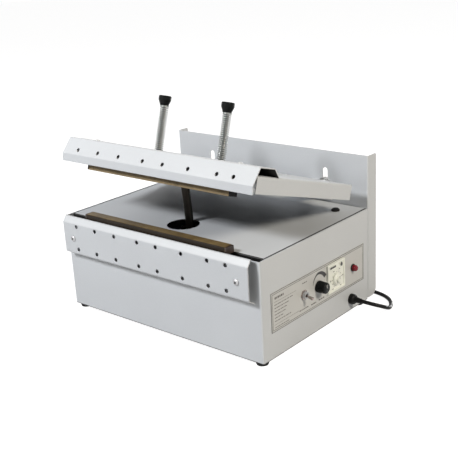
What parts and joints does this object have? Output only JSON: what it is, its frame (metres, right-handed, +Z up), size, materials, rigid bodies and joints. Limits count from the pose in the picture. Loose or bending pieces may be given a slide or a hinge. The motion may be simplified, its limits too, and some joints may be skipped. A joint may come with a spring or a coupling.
{
  "type": "impulse heat sealer",
  "caption": "Table-top impulse heat sealer: sheet-metal housing with a lower sealing bar, a hinged upper jaw on spring posts pulled down by a rod, and side controls with a mains lead.",
  "frame": {"origin": "on the table under the middle of the housing, halfway between its feet", "axes": "+X along the sealing bars to the side with the controls, -Y to the front jaw, +Z up"},
  "size_m": [0.4782, 0.4317, 0.3675],
  "materials": {
    "grey_paint": "light grey semi-gloss powder coat with a fine orange peel",
    "panel_print": "light grey printed control panel foil, satin",
    "zinc": "bright zinc-plated steel",
    "dark_steel": "dark oiled steel",
    "spring_steel": "bright spring wire",
    "aluminium": "milled aluminium",
    "nichrome": "dull resistance strip",
    "seal_cloth": "brown woven glass cloth coated with fluoropolymer",
    "black_plastic": "black moulded plastic, fine grain",
    "black_knob": "black glossy plastic knob",
    "black_rubber": "black rubber",
    "cord_black": "black flexible cord sheath",
    "cream_plastic": "cream plastic",
    "red_lens": "red translucent lamp lens",
    "copper": "lacquered copper winding",
    "core_steel": "stacked core sheets"
  },
  "bodies": {
    "housing": {"housing_shell": "grey_paint", "base_plate": "grey_paint", "top_plate": "grey_paint", "back_panel": "grey_paint", "panel_screws": "zinc", "rubber_feet": "black_rubber", "foot_screws": "zinc", "lid_bumpers": "black_rubber", "lower_jaw_cover": "grey_paint", "cover_screws": "zinc", "cover_spacers": "zinc", "lower_seal_bar": "aluminium", "heating_element": "nichrome", "lower_seal_cloth": "seal_cloth", "lower_bar_brackets": "grey_paint", "element_terminals": "black_plastic", "hinge_brackets": "grey_paint", "hinge_bolts": "zinc", "hinge_washers": "zinc", "hinge_nuts": "zinc", "magnet_frame": "dark_steel", "magnet_coil": "copper", "transformer_core": "core_steel", "transformer_winding": "copper", "control_plate": "panel_print", "panel_nuts": "zinc", "toggle_switch": "zinc", "heat_potentiometer": "zinc", "timer_module": "cream_plastic", "lamp_holder": "black_plastic", "lamp_lens": "red_lens", "cable_gland": "black_plastic", "power_cord": "cord_black", "cord_coil": "cord_black", "cord_tie": "black_plastic", "power_plug": "black_plastic"},
    "lid": {"lid_plate": "grey_paint", "upper_jaw_cover": "grey_paint", "upper_cover_screws": "zinc", "upper_seal_bar": "aluminium", "upper_seal_cloth": "seal_cloth", "upper_bar_caps": "black_plastic", "hinge_ears": "grey_paint", "hinge_pins": "zinc", "spring_washers": "zinc", "pressure_spring_left": "spring_steel", "pressure_spring_right": "spring_steel"},
    "yoke": {"pressure_yoke": "dark_steel", "spring_posts": "zinc", "stop_nuts": "zinc", "upper_rod_pin": "zinc"},
    "knob_left": {"pressure_knob_left": "black_knob"},
    "knob_right": {"pressure_knob_right": "black_knob"},
    "rod": {"pull_rod": "dark_steel", "lower_rod_pin": "zinc"},
    "plunger": {"magnet_plunger": "dark_steel"},
    "toggle": {"toggle_lever": "zinc"},
    "heat": {"heat_shaft": "zinc", "heat_knob": "black_knob"},
    "timer": {"timer_dial": "cream_plastic"}
  },
  "joints": [
    {"name": "lid_hinge", "type": "hinge", "parent": "housing", "child": "lid", "pos_m": [0, 0.117, 0.1918], "axis": [1, 0, 0], "range_deg": [0, 16.1], "stiffness_Nm_per_rad": 12, "springref_deg": -45.84},
    {"name": "yoke_slide", "type": "slide", "parent": "lid", "child": "yoke", "axis": [0, -0.2924, -0.9563], "range_m": [0, 0.00601], "deforming": ["pressure_spring_left", "pressure_spring_right"]},
    {"name": "knob_left_turn", "type": "hinge", "parent": "yoke", "child": "knob_left", "pos_m": [-0.0671, -0.02993, 0.35697], "axis": [0, 0.2924, 0.9563], "continuous": true},
    {"name": "knob_right_turn", "type": "hinge", "parent": "yoke", "child": "knob_right", "pos_m": [0.0671, -0.02993, 0.35697], "axis": [0, 0.2924, 0.9563], "continuous": true},
    {"name": "rod_pivot", "type": "hinge", "parent": "yoke", "child": "rod", "pos_m": [0, -0.06706, 0.23552], "axis": [1, 0, 0], "range_deg": [-12.68, 0]},
    {"name": "plunger_slide", "type": "slide", "parent": "housing", "child": "plunger", "axis": [0, 0, -1], "range_m": [0, 0.05822]},
    {"name": "toggle_tilt", "type": "hinge", "parent": "housing", "child": "toggle", "pos_m": [0.213, -0.0425, 0.0825], "axis": [0, -1, 0], "range_deg": [0, 25]},
    {"name": "heat_turn", "type": "hinge", "parent": "housing", "child": "heat", "pos_m": [0.218, -0.0035, 0.0825], "axis": [1, 0, 0], "range_deg": [-150, 150]},
    {"name": "timer_turn", "type": "hinge", "parent": "housing", "child": "timer", "pos_m": [0.214, 0.043, 0.0795], "axis": [1, 0, 0], "range_deg": [-140, 140]}
  ],
  "couplings": [
    {"joint": "yoke_slide", "follows": "lid_hinge", "m_per_rad": 0.021352},
    {"joint": "rod_pivot", "follows": "lid_hinge", "ratio": -0.78696},
    {"joint": "plunger_slide", "follows": "lid_hinge", "m_per_rad": 0.20711}
  ]
}
